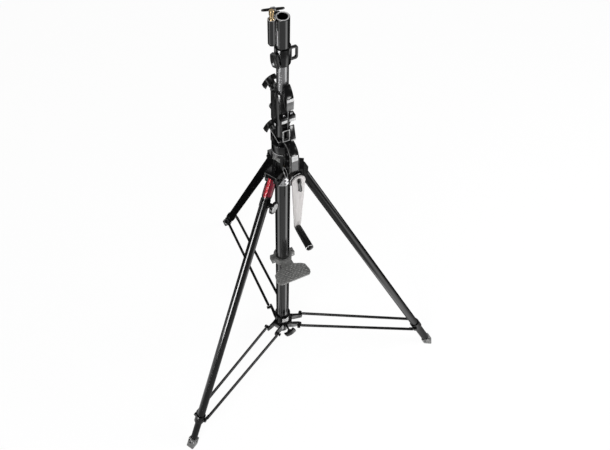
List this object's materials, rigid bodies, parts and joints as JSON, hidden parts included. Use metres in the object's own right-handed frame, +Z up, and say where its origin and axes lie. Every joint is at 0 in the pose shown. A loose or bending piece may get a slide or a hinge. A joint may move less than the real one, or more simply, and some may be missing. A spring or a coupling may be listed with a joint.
{
  "type": "crank lighting stand",
  "caption": "Folding tripod lighting stand with a geared crank that raises two telescoping risers and a clamping socket on top.",
  "frame": {"origin": "on the column's axis at floor level", "axes": "+Z up the column; the crank, the gear case and the foot step face -Y; the rear leg points to +Y and the levelling leg to -X and a little -Y"},
  "size_m": [1.0972, 0.9513, 1.6995],
  "materials": {
    "black_paint": "gloss black finish on tubes and castings",
    "steel": "plain machined steel",
    "chrome": "bright plated",
    "aluminium": "satin cast aluminium",
    "brass": "turned, lightly polished",
    "nylon": "low-friction bearing plastic",
    "red_sleeve": "glossy red band",
    "black_plastic": "moulded black plastic",
    "grip": "smooth black rubber"
  },
  "bodies": {
    "base": {"base_tube": "black_paint", "base_plug": "black_plastic", "crown_casting": "black_paint", "crown_bush": "nylon", "crown_ring": "chrome", "gear_case": "black_paint", "gear_cover": "black_paint", "front_guards": "black_paint", "crank_bushes": "brass", "leg_pins": "chrome", "base_screws": "steel", "step_plate": "aluminium", "step_clamp": "aluminium"},
    "lower_knob": {"lower_knob": "black_plastic"},
    "crank": {"worm_shaft": "steel", "crank_arm": "aluminium", "crank_fittings": "chrome"},
    "grip": {"crank_grip": "grip"},
    "gears": {"pinion_gear": "steel", "worm_wheel": "brass"},
    "spider": {"spider_hub": "black_paint", "spider_pins": "steel"},
    "spider_knob": {"spider_knob": "black_plastic"},
    "leg_left": {"leg_left_tube": "black_paint", "leg_left_head": "black_paint", "leg_left_sleeve": "red_sleeve", "leg_left_bracket": "black_paint", "level_bush": "black_paint"},
    "level_leg": {"level_tube": "black_paint", "level_foot": "aluminium"},
    "level_knob": {"level_knob": "black_plastic"},
    "leg_right": {"leg_right_tube": "black_paint", "leg_right_head": "black_paint", "leg_right_bracket": "black_paint", "leg_right_foot": "aluminium"},
    "leg_rear": {"leg_rear_tube": "black_paint", "leg_rear_head": "black_paint", "leg_rear_bracket": "black_paint", "leg_rear_foot": "aluminium"},
    "brace_left": {"braces_left": "black_paint"},
    "brace_right": {"braces_right": "black_paint"},
    "brace_rear": {"braces_rear": "black_paint"},
    "riser_1": {"riser_1_tube": "black_paint", "riser_1_rack": "steel", "riser_1_foot": "nylon", "riser_1_collar": "black_paint", "riser_1_bush": "black_plastic", "pulley_hood": "black_paint", "collar_bolts": "chrome", "cable_outer": "steel"},
    "pulley": {"pulley": "brass"},
    "upper_knob": {"upper_knob": "black_plastic"},
    "riser_2": {"riser_2_tube": "black_paint", "riser_2_foot": "nylon", "head_collar": "black_paint", "socket_barrel": "black_paint", "cable_inner": "steel"},
    "spigot": {"spigot": "brass"},
    "t_handle": {"t_handle": "black_paint"},
    "head_knob": {"head_knob": "black_plastic"}
  },
  "joints": [
    {"name": "crank_turn", "type": "hinge", "parent": "base", "child": "crank", "pos_m": [0.0082, -0.0965, 1.11], "axis": [0, 1, 0], "range_deg": [0, 18000]},
    {"name": "gear_spin", "type": "hinge", "parent": "base", "child": "gears", "pos_m": [0, -0.03428, 1.125], "axis": [1, 0, 0], "range_deg": [0, 4501]},
    {"name": "riser_1_lift", "type": "slide", "parent": "base", "child": "riser_1", "axis": [0, 0, 1], "range_m": [0, 1], "deforming": ["cable_outer"]},
    {"name": "riser_2_lift", "type": "slide", "parent": "riser_1", "child": "riser_2", "axis": [0, 0, 1], "range_m": [0, 1], "deforming": ["cable_inner"]},
    {"name": "pulley_spin", "type": "hinge", "parent": "riser_1", "child": "pulley", "pos_m": [0, -0.0276, 1.424], "axis": [1, 0, 0], "range_deg": [0, 6370]},
    {"name": "grip_spin", "type": "hinge", "parent": "crank", "child": "grip", "pos_m": [0.0082, -0.145, 0.872], "axis": [0, 1, 0], "continuous": true},
    {"name": "leg_left_fold", "type": "hinge", "parent": "base", "child": "leg_left", "pos_m": [-0.0485, -0.028, 1.075], "axis": [0.5, -0.866, 0], "range_deg": [0, 27.26]},
    {"name": "leg_right_fold", "type": "hinge", "parent": "base", "child": "leg_right", "pos_m": [0.0485, -0.028, 1.075], "axis": [0.5, 0.866, 0], "range_deg": [0, 27.26]},
    {"name": "leg_rear_fold", "type": "hinge", "parent": "base", "child": "leg_rear", "pos_m": [0, 0.056, 1.075], "axis": [-1, 0, 0], "range_deg": [0, 27.26]},
    {"name": "spider_slide", "type": "slide", "parent": "base", "child": "spider", "axis": [0, 0, 1], "range_m": [0, 0.3882]},
    {"name": "brace_left_fold", "type": "hinge", "parent": "spider", "child": "brace_left", "pos_m": [-0.06062, -0.035, 0.096], "axis": [0.5, -0.866, 0], "range_deg": [0, 96.1]},
    {"name": "brace_right_fold", "type": "hinge", "parent": "spider", "child": "brace_right", "pos_m": [0.06062, -0.035, 0.096], "axis": [0.5, 0.866, 0], "range_deg": [0, 96.1]},
    {"name": "brace_rear_fold", "type": "hinge", "parent": "spider", "child": "brace_rear", "pos_m": [0, 0.07, 0.096], "axis": [-1, 0, 0], "range_deg": [0, 96.1]},
    {"name": "level_leg_slide", "type": "slide", "parent": "leg_left", "child": "level_leg", "axis": [-0.3967, -0.229, -0.8889], "range_m": [0, 0.25]},
    {"name": "level_knob_turn", "type": "hinge", "parent": "leg_left", "child": "level_knob", "pos_m": [-0.0666, -0.08002, 0.99411], "axis": [0.5, -0.866, 0], "range_deg": [0, 450]},
    {"name": "lower_knob_turn", "type": "hinge", "parent": "base", "child": "lower_knob", "pos_m": [0, 0.06, 1.184], "axis": [0, 1, 0], "range_deg": [0, 450]},
    {"name": "upper_knob_turn", "type": "hinge", "parent": "riser_1", "child": "upper_knob", "pos_m": [0, 0.06, 1.369], "axis": [0, 1, 0], "range_deg": [0, 450]},
    {"name": "spider_knob_turn", "type": "hinge", "parent": "spider", "child": "spider_knob", "pos_m": [0, -0.06, 0.098], "axis": [0, 1, 0], "range_deg": [0, 450]},
    {"name": "head_knob_turn", "type": "hinge", "parent": "riser_2", "child": "head_knob", "pos_m": [-0.02719, -0.01268, 1.54], "axis": [-0.9063, -0.4226, 0], "range_deg": [0, 450]},
    {"name": "t_handle_turn", "type": "hinge", "parent": "riser_2", "child": "t_handle", "pos_m": [0, 0.04, 1.652], "axis": [0, 1, 0], "range_deg": [0, 450]},
    {"name": "spigot_pull", "type": "slide", "parent": "riser_2", "child": "spigot", "axis": [0, 0, 1], "range_m": [0, 0.13]}
  ],
  "couplings": [
    {"joint": "gear_spin", "follows": "crank_turn", "ratio": 0.25},
    {"joint": "riser_1_lift", "follows": "crank_turn", "m_per_rad": 0.0031831},
    {"joint": "riser_2_lift", "follows": "crank_turn", "m_per_rad": 0.0031831},
    {"joint": "pulley_spin", "follows": "crank_turn", "ratio": 0.35368},
    {"joint": "leg_right_fold", "follows": "leg_left_fold", "ratio": 1},
    {"joint": "leg_rear_fold", "follows": "leg_left_fold", "ratio": 1},
    {"joint": "spider_slide", "follows": "leg_left_fold", "m_per_rad": 0.8155},
    {"joint": "brace_left_fold", "follows": "leg_left_fold", "ratio": 3.52},
    {"joint": "brace_right_fold", "follows": "leg_left_fold", "ratio": 3.52},
    {"joint": "brace_rear_fold", "follows": "leg_left_fold", "ratio": 3.52}
  ]
}
